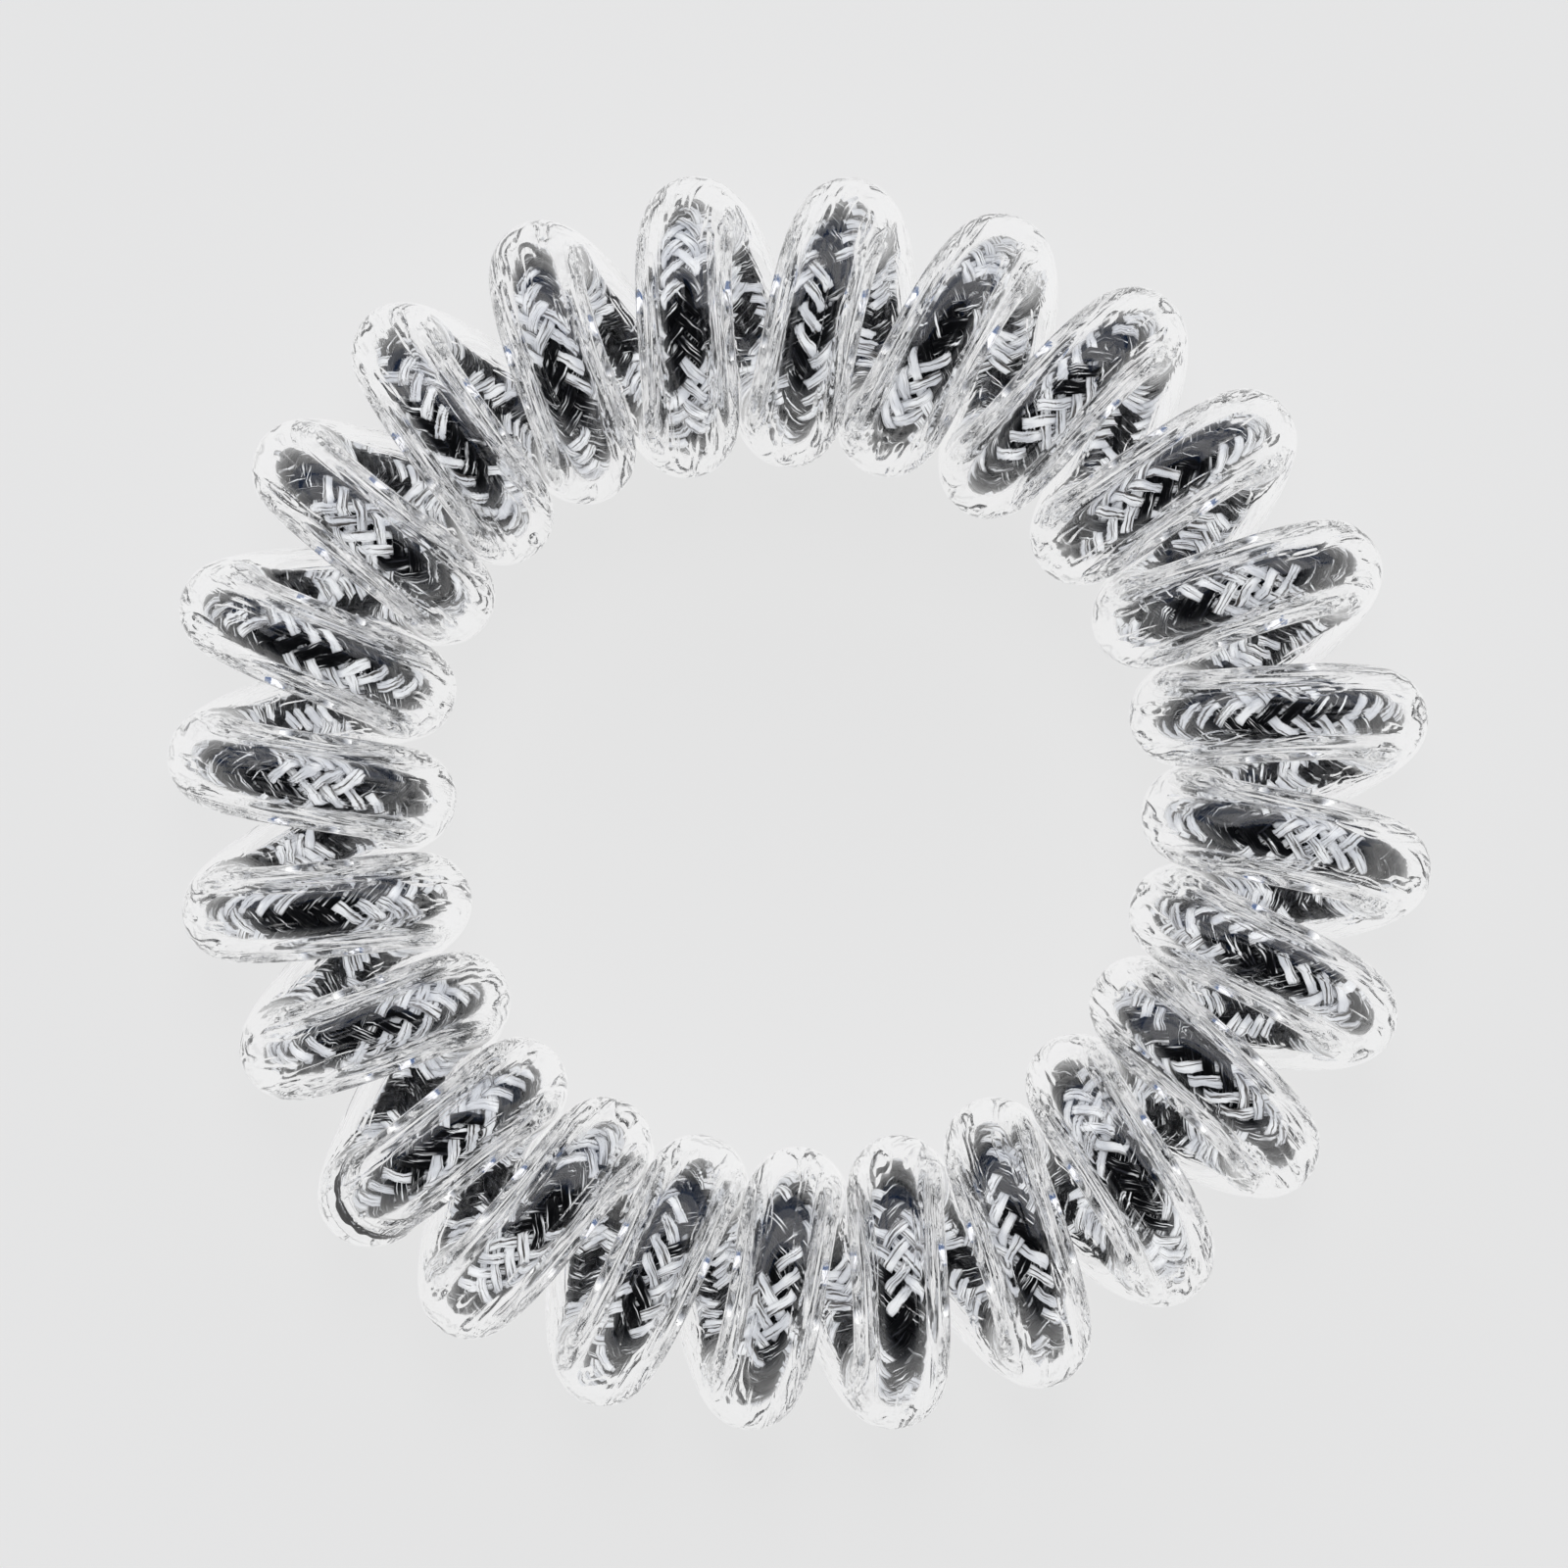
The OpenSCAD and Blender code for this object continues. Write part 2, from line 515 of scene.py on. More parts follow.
@dataclass(frozen=True)
class ClearPolyurethane:
    """Thermoplastic polyurethane, extruded clear: glossy, with fine draw lines along the strand.

    The wall of the bore took its shape from the braid that the strand was extruded over, so it is much
    less even than the skin and mirrors the light in streaks. Light that has already scattered off the
    yarn or the floor is answered with an even glow, which stands for all that finds its way back
    through the many clear turns.

    Attributes:
        ior: Refractive index of polyurethane.
        lines: Draw lines in the skin.
        prints: Ridges on the wall of the bore.
        even_up_to: Share of the pattern below which the surface is even, so that the relief is patchy.
        fold: Share of the height at which the relief folds back, which gives it sharp creases.
        skin_glow: Scattered light that the floor meets in the strand.
        bore_glow: Scattered light that the yarn meets in the strand.
    """

    ior: float = 1.5
    lines: Relief = Relief(width=0.4, length=6.0, height=0.04)
    prints: Relief = Relief(width=0.55, length=2.5, height=0.34)
    even_up_to: float = 0.54
    fold: float = 0.08
    skin_glow: float = 0.5
    bore_glow: float = 1.12

    def _relief(self, tree: NodeTree, in_bore: Any) -> Any:
        """The height of the draw lines, or of the ridges in the bore.

        Args:
            tree: The tree that gets the nodes.
            in_bore: 1 on the wall of the bore and 0 on the skin.

        Returns:
            The height, in metres.
        """
        place = add(tree, "ShaderNodeAttribute", attribute_name="strand_place").outputs["Vector"]
        pitches = {0: in_bore, 4: self.lines.pitch, 5: self.prints.pitch}
        pattern = add(tree, "ShaderNodeMix", pitches, data_type="VECTOR")
        spread = {0: place, 1: pattern.outputs[1]}
        stretched = add(tree, "ShaderNodeVectorMath", spread, operation="MULTIPLY").outputs[0]
        noise = add(tree, "ShaderNodeTexNoise", {"Vector": stretched, "Scale": 1.0, "Detail": 1.0})
        height = noise.outputs[0]
        for operation, value in (
            ("MAXIMUM", self.even_up_to),
            ("SUBTRACT", self.even_up_to),
            ("PINGPONG", self.fold),
        ):
            height = add(tree, "ShaderNodeMath", {0: height, 1: value}, operation=operation).outputs[0]
        heights = {0: in_bore, 2: self.lines.height * MM, 3: self.prints.height * MM}
        full = add(tree, "ShaderNodeMix", heights)
        return add(tree, "ShaderNodeMath", {0: height, 1: full.outputs[0]}, operation="MULTIPLY").outputs[0]

    def make(self) -> Material:
        """Builds the material.

        Returns:
            The material.
        """
        material, tree = blank_material("clear_extruded_polyurethane")
        in_bore = add(tree, "ShaderNodeAttribute", attribute_name="in_bore").outputs["Fac"]
        relief = {"Height": self._relief(tree, in_bore), "Distance": 1.0, "Strength": 1.0}
        look = {"Base Color": linear("#FDFDFD"), "Roughness": 0.0, "IOR": self.ior}
        look |= {"Transmission Weight": 1.0, "Normal": add(tree, "ShaderNodeBump", relief).outputs[0]}
        shader = add(tree, "ShaderNodeBsdfPrincipled", look)
        glow = add(tree, "ShaderNodeMix", {0: in_bore, 2: self.skin_glow, 3: self.bore_glow})
        scattered = add(tree, "ShaderNodeEmission", {"Strength": glow.outputs[0]})
        is_scattered = add(tree, "ShaderNodeLightPath").outputs["Is Diffuse Ray"]
        either = {0: is_scattered, 1: shader.outputs[0], 2: scattered.outputs[0]}
        both = add(tree, "ShaderNodeMixShader", either)
        add(tree, "ShaderNodeOutputMaterial", {"Surface": both.outputs[0]})
        material.cycles.emission_sampling = "NONE"
        return material


@dataclass(frozen=True)
class PolyesterYarn:
    """Filament polyester, laid untwisted and flat: bundles of fibres that shine along the yarn.

    Attributes:
        name: What the material is called.
        deep: Colour between the bundles of fibres, and the painted shade along the yarn's edges.
        bright: Colour of the upper bundles: the silver's own tone, and painted glints on the black.
        dull: Colour that they take in random patches: painted shade, which on the black dims the glints.
        roughness: Spread of the shine.
        shine: Strength of the shine, as a specular level.
        lit: Shares of the pattern at which the bright colour starts and is full.
        yarn_w: Width of the yarn that it is for.
        edge: Share of that width, from the middle, at which painted shade starts to darken the yarn.
        bundles: Bundles of fibres, because single ones are too fine to show.
        patch: Size of the patches of painted shade.
        loose: Shares of their pattern at which a patch starts and is full.
    """

    name: str
    deep: str
    bright: str
    dull: str
    roughness: float
    shine: float
    lit: tuple[float, float]
    yarn_w: float
    edge: float = 0.465
    bundles: Relief = Relief(width=0.08, length=0.9, height=0.08)
    patch: float = 0.8
    loose: tuple[float, float] = (0.4, 0.6)

    def make(self) -> Material:
        """Builds the material.

        Returns:
            The material.
        """
        material, tree = blank_material(self.name)
        place = add(tree, "ShaderNodeAttribute", attribute_name="yarn_place").outputs["Vector"]
        along_yarn = {0: place, 1: self.bundles.pitch}
        spread = add(tree, "ShaderNodeVectorMath", along_yarn, operation="MULTIPLY").outputs[0]
        fibres = add(tree, "ShaderNodeTexNoise", {"Vector": spread, "Scale": 1.0, "Detail": 2.0}).outputs[0]
        across = add(tree, "ShaderNodeSeparateXYZ", {0: place}).outputs[1]
        off_middle = add(tree, "ShaderNodeMath", {0: across}, operation="ABSOLUTE").outputs[0]
        body = add(tree, "ShaderNodeTexCoord").outputs["Object"]
        patches = {"Vector": body, "Scale": 1 / (self.patch * MM), "Detail": 0.0}
        shade_patches = add(tree, "ShaderNodeTexNoise", patches).outputs[0]
        shares = []
        for value, start, full in (
            (fibres, *self.lit),
            (off_middle, 0.5 * self.yarn_w * MM, self.edge * self.yarn_w * MM),
            (shade_patches, *self.loose),
        ):
            limits = {"Value": value, "From Min": start, "From Max": full}
            shares.append(add(tree, "ShaderNodeMapRange", limits).outputs[0])
        # Where the fibre pattern is high the bright colour shows, which on the black yarn is painted glints
        lit, inside, loose = shares
        # The deep colour at the yarn's edges is painted shade where neighbouring yarns meet
        bright = add(tree, "ShaderNodeMath", {0: lit, 1: inside}, operation="MULTIPLY").outputs[0]
        # Random patches take the dull colour: painted shade, and dimmer painted glints on the black yarn
        tops = {0: loose, 6: linear(self.bright), 7: linear(self.dull)}
        top = add(tree, "ShaderNodeMix", tops, data_type="RGBA").outputs[2]
        both = {0: bright, 6: linear(self.deep), 7: top}
        colour = add(tree, "ShaderNodeMix", both, data_type="RGBA").outputs[2]
        relief = {"Height": fibres, "Distance": self.bundles.height * MM, "Strength": 1.0}
        look = {"Base Color": colour, "Roughness": self.roughness, "Specular IOR Level": self.shine}
        look["Normal"] = add(tree, "ShaderNodeBump", relief).outputs[0]
        shader = add(tree, "ShaderNodeBsdfPrincipled", look)
        add(tree, "ShaderNodeOutputMaterial", {"Surface": shader.outputs[0]})
        return material


YARNS = {
    Shade.SILVER: PolyesterYarn(
        "silver_filament_polyester",
        deep="#423D3A",
        bright="#EEF0F3",
        # Painted shade in random patches
        dull="#D2D5DB",
        roughness=0.35,
        shine=0.5,
        lit=(0.36, 0.47),
        yarn_w=0.46,
    ),
    Shade.BLACK: PolyesterYarn(
        "black_filament_polyester",
        deep="#030304",
        # Near white on black: painted glints on the fibres
        bright="#F0F2F5",
        # Painted glints dimmed to grey in the patches of painted shade
        dull="#2A2B31",
        roughness=0.3,
        shine=0.12,
        lit=(0.58, 0.65),
        yarn_w=0.55,
    ),
}


@dataclass(frozen=True)
class MeltedPolyester:
    """Polyester yarn melted into a hard crust by the heat of the weld: black, blistered and half glossy.

    Attributes:
        deep: Colour between the blisters.
        scorched: Colour on top of them.
        blister_w: Size of the blisters.
        blister_h: Their height.
    """

    deep: str = "#050404"
    scorched: str = "#241C18"
    blister_w: float = 0.15
    blister_h: float = 0.04

    def make(self) -> Material:
        """Builds the material.

        Returns:
            The material.
        """
        material, tree = blank_material("melted_black_polyester")
        body = add(tree, "ShaderNodeTexCoord").outputs["Object"]
        pattern = {"Vector": body, "Scale": 1 / (self.blister_w * MM), "Detail": 2.0}
        blisters = add(tree, "ShaderNodeTexNoise", pattern).outputs[0]
        colours = {0: blisters, 6: linear(self.deep), 7: linear(self.scorched)}
        relief = {"Height": blisters, "Distance": self.blister_h * MM, "Strength": 1.0}
        colour = add(tree, "ShaderNodeMix", colours, data_type="RGBA").outputs[2]
        look = {"Base Color": colour, "Roughness": 0.3, "Specular IOR Level": 0.4}
        look["Normal"] = add(tree, "ShaderNodeBump", relief).outputs[0]
        shader = add(tree, "ShaderNodeBsdfPrincipled", look)
        add(tree, "ShaderNodeOutputMaterial", {"Surface": shader.outputs[0]})
        return material


@dataclass
class ClearStrand:
    """The clear strand, hollow for the cord, with the bead where its two ends are welded.

    Attributes:
        line: The route that it follows.
        finish: Its material.
        bore_d: Diameter of the bore, in which the cord lies loose with air round it.
        plug_l: Length of the solid stretch at the weld.
        sides: Points round the skin.
        bore_sides: Points round the bore.
        ring_step: Spacing of the sections along the strand.
        weld_step: Spacing of the sections at the weld.
        weld_reach: How far from the weld they lie that close.
        wave_h: Height of the slow waves in the skin.
        wave_w: Spacing of those waves round the strand.
        wave_l: Spacing of those waves along the strand.
        lip_h: How far the two lips of the weld stand out.
        lip_gap: Distance from the weld to the middle of either lip.
        lip_w: Width of a lip from its middle to its edge.
        crumple: How much higher the waves are at the weld, as a share.
        seed: Picks the pattern of the waves.
    """

    line: RouteLine
    finish: ClearPolyurethane
    bore_d: float
    plug_l: float = 0.16
    sides: int = 36
    bore_sides: int = 24
    ring_step: float = 0.44
    weld_step: float = 0.06
    weld_reach: float = 1.2
    wave_h: float = 0.06
    wave_w: float = 1.6
    wave_l: float = 5.0
    lip_h: float = 0.1
    lip_gap: float = 0.15
    lip_w: float = 1.0
    crumple: float = 2.0
    seed: float = 4.0

    def _lengths(self) -> list[float]:
        """Where the sections lie along the route, close together at the weld.

        Returns:
            The rising lengths.
        """
        whole = self.line.whole
        near = [i * self.weld_step for i in range(round(self.weld_reach / self.weld_step))]
        count = round((whole - 2 * self.weld_reach) / self.ring_step)
        step = (whole - 2 * self.weld_reach) / count
        far = [self.weld_reach + i * step for i in range(count + 1)]
        back = [whole - length for length in reversed(near[1:])]
        return near + far + back

    def _swept(self, tree: Tree, line: Any, diameter: Any, sides: Any, in_bore: float, scale: Any) -> Any:
        """Sweeps a round section along a line, and tells its points where they lie on the strand.

        Args:
            tree: The tree that gets the nodes.
            line: Bare edges to follow.
            diameter: Diameter of the section.
            sides: Points round it.
            in_bore: 1 for the wall of the bore and 0 for the skin.
            scale: How much larger it is at each point of the line.

        Returns:
            The swept body.
        """
        centre = tree.add("GeometryNodeMeshToCurve", {"Mesh": line})
        axis = {"Geometry": centre, "Name": "axis_place", "Value": tree.add("GeometryNodeInputPosition")}
        marked = tree.add(STORE, axis, data_type=VECTOR)
        round_section = {"Resolution": sides, "Radius": tree.work(MATH, "DIVIDE", diameter, 2.0)}
        circle = tree.add("GeometryNodeCurvePrimitiveCircle", round_section)
        swept, across, over = tree.sweep(marked, circle, scale)
        along = tree.add(STORED, {"Name": "along"})
        place = tree.add("ShaderNodeCombineXYZ", {0: across, 1: over, 2: along})
        told = {"Geometry": swept, "Name": "strand_place", "Value": place}
        swept = tree.add(STORE, told, data_type=VECTOR)
        return tree.add(STORE, {"Geometry": swept, "Name": "in_bore", "Value": in_bore})

    def _lift(self, tree: Tree) -> Any:
        """How far the waves and the lips of the weld move a point of the skin, and which way.

        Args:
            tree: The tree that gets the nodes.

        Returns:
            The offset of the point.
        """
        given = tree.given
        across = tree.work(MATH, "DIVIDE", 1.0, given["Wave Width"])
        lengthwise = tree.work(MATH, "DIVIDE", 1.0, given["Wave Length"])
        pattern = tree.add("ShaderNodeCombineXYZ", {0: across, 1: across, 2: lengthwise})
        place = tree.add(STORED, {"Name": "strand_place"}, data_type=VECTOR)
        stretched = tree.work(VECTOR_MATH, "MULTIPLY", place, pattern)
        waves = {"Vector": stretched, "W": given["Seed"], "Scale": 1.0, "Detail": 2.0}
        noise = tree.add("ShaderNodeTexNoise", waves, noise_dimensions="4D")
        crumpled = tree.near_weld(given["Crumple"], given["Lip Width"])
        height = tree.work(MATH, "MULTIPLY", crumpled, given["Wave Height"])
        wave = tree.work(MATH, "MULTIPLY", tree.work(MATH, "SUBTRACT", noise, 0.5), height)
        off_lip = tree.work(MATH, "SUBTRACT", tree.add(STORED, {"Name": "end_gap"}), given["Lip Gap"])
        share = tree.work(MATH, "DIVIDE", off_lip, given["Lip Width"])
        humped = tree.work(MATH, "MULTIPLY_ADD", tree.work(MATH, "MULTIPLY", share, -1.0), share, 1.0)
        rounded = tree.work(MATH, "MAXIMUM", humped, 0.0)
        squared = tree.work(MATH, "MULTIPLY", rounded, rounded)
        lip = tree.work(MATH, "MULTIPLY", squared, given["Lip Height"])
        axis = tree.add(STORED, {"Name": "axis_place"}, data_type=VECTOR)
        off_axis = tree.work(VECTOR_MATH, "SUBTRACT", tree.add("GeometryNodeInputPosition"), axis)
        away = tree.work(VECTOR_MATH, "NORMALIZE", off_axis)
        return tree.work(VECTOR_MATH, "MULTIPLY", away, tree.work(MATH, "ADD", wave, lip))

    def build(self) -> Object:
        """Makes the strand: its skin, and the wall of the bore with its faces turned inwards.

        Returns:
            The strand, in one piece.
        """
        sizes = {
            "Strand Diameter": self.line.route.strand_d * MM,
            "Sides": self.sides,
            "Bore Diameter": self.bore_d * MM,
            "Bore Sides": self.bore_sides,
            "Plug Half": self.plug_l / 2 * MM,
            "Taper": -self.line.route.taper,
            "Taper Length": self.line.route.taper_l * MM,
            "Wave Height": self.wave_h * MM,
            "Wave Width": self.wave_w * MM,
            "Wave Length": self.wave_l * MM,
            "Lip Height": self.lip_h * MM,
            "Lip Gap": self.lip_gap * MM,
            "Lip Width": self.lip_w * MM,
            "Crumple": self.crumple,
            "Seed": self.seed,
            "Finish": self.finish.make(),
        }
        tree = Tree("strand_along_route", sizes)
        given = tree.given
        line = given["Geometry"]
        skin = self._swept(tree, line, given["Strand Diameter"], given["Sides"], 0.0, 1.0)
        skin = tree.add("GeometryNodeSetPosition", {"Geometry": skin, "Offset": self._lift(tree)})
        in_plug = tree.work(MATH, "LESS_THAN", tree.add(STORED, {"Name": "end_gap"}), given["Plug Half"])
        cut = {"Geometry": line, "Selection": in_plug}
        hollow = tree.add("GeometryNodeDeleteGeometry", cut, domain="POINT")
        width = tree.near_weld(given["Taper"], given["Taper Length"])
        wall = self._swept(tree, hollow, given["Bore Diameter"], given["Bore Sides"], 1.0, width)
        tree.close(skin, tree.add("GeometryNodeFlipFaces", {"Mesh": wall}))
        base = self.line.base("strand_line", self._lengths(), closed=True)
        return tree.grow("clear_strand", base, sizes)


@dataclass
class BraidedCord:
    """The cord inside the strand: silver and black yarns braided over two and under two.

    Attributes:
        line: The route that it follows.
        finishes: The material of each colour of yarn, which also knows the yarn's width.
        cord_d: Diameter over the braid.
        yarns_each_way: Yarns that turn one way round the cord, and as many turn the other way.
        silver_each_way: How many of those, side by side, are silver.
        crossing_step: Distance along the cord from one crossing of a yarn to its next.
        steps: Points of a yarn from one crossing to the next.
        yarn_t: Thickness of a yarn, which lies flat.
        sides: Points round a yarn.
        weave: How far a yarn moves out and in from its middle way, as a share of its thickness.
        hold: How long it stays out or in, where 1 is a plain wave.
        swell: How uneven the width of a yarn is, as a share.
        swell_l: Length over which its width changes.
        end_gap: Distance from either cut end to the weld.
        unevenness: How irregular the lay is, as a share of the spacing of the crossings.
        lay_steps: How far its pattern moves on with each yarn, with each crossing and to either hand.
        fibre_shift: How far the fibres of neighbouring yarns are shifted along each other.
        seed: Picks the pattern of the unevenness.
    """

    line: RouteLine
    finishes: dict[Shade, PolyesterYarn]
    cord_d: float
    yarns_each_way: int = 8
    silver_each_way: int = 4
    crossing_step: float = 0.365
    steps: int = 2
    yarn_t: float = 0.13
    sides: int = 6
    weave: float = 0.6
    hold: float = 1.5
    swell: float = 1.0
    swell_l: float = 0.6
    end_gap: float = 0.14
    unevenness: float = 1.3
    lay_steps: tuple[float, float, float] = (7.3, 0.6, 5.0)
    fibre_shift: float = 13.7
    seed: float = 2.0

    def _lengths(self) -> list[float]:
        """Where the points of a yarn lie along the route.

        Returns:
            The rising lengths.
        """
        room = self.line.whole - 2 * self.end_gap
        count = round(room / self.crossing_step) * self.steps
        return [self.end_gap + room * i / count for i in range(count + 1)]

    def _kept(self, tree: Tree) -> Any:
        """Copies the base line once for each yarn that is wanted, and numbers the copies.

        Args:
            tree: The tree that gets the nodes.

        Returns:
            The lines of the wanted yarns.
        """
        given = tree.given
        line = tree.add("GeometryNodeMeshToCurve", {"Mesh": given["Geometry"]})
        for name, kind in (
            ("axis_place", "GeometryNodeInputPosition"),
            ("axis_side", "GeometryNodeInputNormal"),
            ("axis_run", "GeometryNodeInputTangent"),
        ):
            known = {"Geometry": line, "Name": name, "Value": tree.add(kind)}
            line = tree.add(STORE, known, data_type=VECTOR)
        number = tree.node("GeometryNodeSplineParameter").outputs["Index"]
        crossing = tree.work(MATH, "DIVIDE", number, given["Steps"])
        line = tree.add(STORE, {"Geometry": line, "Name": "crossing", "Value": crossing})
        wanted = {"Geometry": line, "Amount": given["Yarns Each Way"]}
        copies = tree.node("GeometryNodeDuplicateElements", wanted, domain="SPLINE").outputs
        own = {"Geometry": copies["Geometry"], "Name": "yarn", "Value": copies["Duplicate Index"]}
        numbered = tree.add(STORE, own)
        silver = tree.work(MATH, "LESS_THAN", tree.add(STORED, {"Name": "yarn"}), given["Silver Yarns"])
        unwanted = tree.work(MATH, "ABSOLUTE", tree.work(MATH, "SUBTRACT", silver, given["Keep Silver"]))
        cut = {"Geometry": numbered, "Selection": unwanted}
        return tree.add("GeometryNodeDeleteGeometry", cut, domain="CURVE")

    def _laid(self, tree: Tree, yarns: Any) -> Any:
        """Winds the yarns round the cord, over two and under two, and keeps the way out of the cord.

        Args:
            tree: The tree that gets the nodes.
            yarns: The lines of the yarns, still in the middle of the cord.

        Returns:
            The lines where the yarns lie.
        """
        given = tree.given
        yarn = tree.add(STORED, {"Name": "yarn"})
        crossing = tree.add(STORED, {"Name": "crossing"})
        ahead = tree.work(MATH, "MULTIPLY", yarn, 2.0)
        place = tree.work(MATH, "MULTIPLY_ADD", crossing, given["Hand"], ahead)
        swing = tree.work(MATH, "MULTIPLY", tree.work(MATH, "SUBTRACT", place, 0.5), math.pi / 2)
        held = tree.work(MATH, "MULTIPLY", tree.work(MATH, "COSINE", swing), self.hold)
        wave = tree.work(MATH, "MULTIPLY", held, given["Hand"])
        side = tree.work(MATH, "MINIMUM", tree.work(MATH, "MAXIMUM", wave, -1.0), 1.0)
        own = tree.add("ShaderNodeCombineXYZ", {0: yarn, 1: crossing, 2: given["Hand"]})
        steps = tree.work(VECTOR_MATH, "MULTIPLY", own, self.lay_steps)
        lay = {"Vector": steps, "W": given["Seed"], "Scale": 1.0, "Detail": 1.0}
        noise = tree.add("ShaderNodeTexNoise", lay, noise_dimensions="4D")
        uneven = tree.work(MATH, "MULTIPLY", tree.work(MATH, "SUBTRACT", noise, 0.5), given["Unevenness"])
        step_angle = tree.work(MATH, "DIVIDE", math.pi, given["Yarns Each Way"])
        angle = tree.work(MATH, "MULTIPLY", tree.work(MATH, "ADD", place, uneven), step_angle)
        spread = tree.near_weld(given["Taper"], given["Taper Length"])
        lay_radius = tree.work(MATH, "MULTIPLY_ADD", side, given["Weave"], given["Lay Radius"])
        axis_side = tree.add(STORED, {"Name": "axis_side"}, data_type=VECTOR)
        axis_run = tree.add(STORED, {"Name": "axis_run"}, data_type=VECTOR)
        axis_cross = tree.work(VECTOR_MATH, "CROSS_PRODUCT", axis_run, axis_side)
        out = tree.work(
            VECTOR_MATH,
            "ADD",
            tree.work(VECTOR_MATH, "MULTIPLY", axis_side, tree.work(MATH, "COSINE", angle)),
            tree.work(VECTOR_MATH, "MULTIPLY", axis_cross, tree.work(MATH, "SINE", angle)),
        )
        reach = tree.work(VECTOR_MATH, "MULTIPLY", out, tree.work(MATH, "MULTIPLY", lay_radius, spread))
        kept = tree.add(STORE, {"Geometry": yarns, "Name": "lay_out", "Value": out}, data_type=VECTOR)
        axis_place = tree.add(STORED, {"Name": "axis_place"}, data_type=VECTOR)
        position = tree.work(VECTOR_MATH, "ADD", axis_place, reach)
        return tree.add("GeometryNodeSetPosition", {"Geometry": kept, "Position": position})

    def _tree(self, sizes: dict[str, Any]) -> Tree:
        """The tree that lays the yarns of one hand and one colour round the base line.

        Args:
            sizes: A value for each named input.

        Returns:
            The tree, which serves every hand and colour.
        """
        tree = Tree("yarns_round_route", sizes)
        given = tree.given
        laid = self._laid(tree, self._kept(tree))
        facing = {"Curve": laid, "Normal": tree.add(STORED, {"Name": "lay_out"}, data_type=VECTOR)}
        turned = tree.add("GeometryNodeSetCurveNormal", facing, mode="FREE")
        round_section = {"Resolution": given["Sides"], "Radius": 0.5}
        circle = tree.add("GeometryNodeCurvePrimitiveCircle", round_section)
        shape = {0: given["Yarn Thickness"], 1: given["Yarn Width"], 2: 1.0}
        flat = tree.add("ShaderNodeCombineXYZ", shape)
        section = tree.add("GeometryNodeTransform", {"Geometry": circle, "Scale": flat})
        swelling = tree.add("ShaderNodeTexNoise", {"Scale": given["Swell Pitch"], "Detail": 1.0})
        uneven = tree.work(MATH, "SUBTRACT", swelling, 0.5)
        width = tree.work(MATH, "MULTIPLY_ADD", uneven, given["Swell"], 1.0)
        swept, over, across = tree.sweep(turned, section, width)
        along = tree.add(STORED, {"Name": "along"})
        yarn = tree.add(STORED, {"Name": "yarn"})
        own_start = tree.work(MATH, "MULTIPLY_ADD", yarn, self.fibre_shift * MM, along)
        place = tree.add("ShaderNodeCombineXYZ", {0: over, 1: across, 2: own_start})
        told = {"Geometry": swept, "Name": "yarn_place", "Value": place}
        tree.close(tree.add(STORE, told, data_type=VECTOR))
        return tree

    def _sizes(self, hand: Hand, shade: Shade, finish: Material) -> dict[str, Any]:
        """The inputs of the tree for the yarns of one hand and one colour.

        Args:
            hand: Which way they turn.
            shade: Their colour.
            finish: Their material.

        Returns:
            A value for each named input, with lengths in metres.
        """
        weave = self.weave * self.yarn_t
        lay_radius = (self.cord_d - self.yarn_t) / 2 - weave
        return {
            "Yarns Each Way": self.yarns_each_way,
            # Half a yarn less, because yarns are counted from 0
            "Silver Yarns": self.silver_each_way - 0.5,
            "Keep Silver": 1.0 if shade is Shade.SILVER else 0.0,
            "Hand": float(hand.value),
            "Steps": float(self.steps),
            "Lay Radius": lay_radius * MM,
            "Weave": weave * MM,
            "Yarn Width": self.finishes[shade].yarn_w * MM,
            "Yarn Thickness": self.yarn_t * MM,
            "Sides": self.sides,
            "Swell": self.swell,
            "Swell Pitch": 1 / (self.swell_l * MM),
            "Taper": -self.line.route.taper,
            "Taper Length": self.line.route.taper_l * MM,
            "Unevenness": self.unevenness,
            "Seed": self.seed,
            "Finish": finish,
        }

    def build(self) -> list[Object]:
        """Makes the yarns, a piece for each hand and colour.

        Returns:
            The four pieces.
        """
        materials = {shade: finish.make() for shade, finish in self.finishes.items()}
        wanted = {
            f"{shade.value}_yarns_{hand.name.lower()}": self._sizes(hand, shade, materials[shade])
            for hand in Hand
            for shade in Shade
        }
        tree = self._tree(next(iter(wanted.values())))
        pieces = []
        for name, sizes in wanted.items():
            base = self.line.base(name + "_line", self._lengths(), closed=False)
            pieces.append(tree.grow(name, base, sizes))
        return pieces


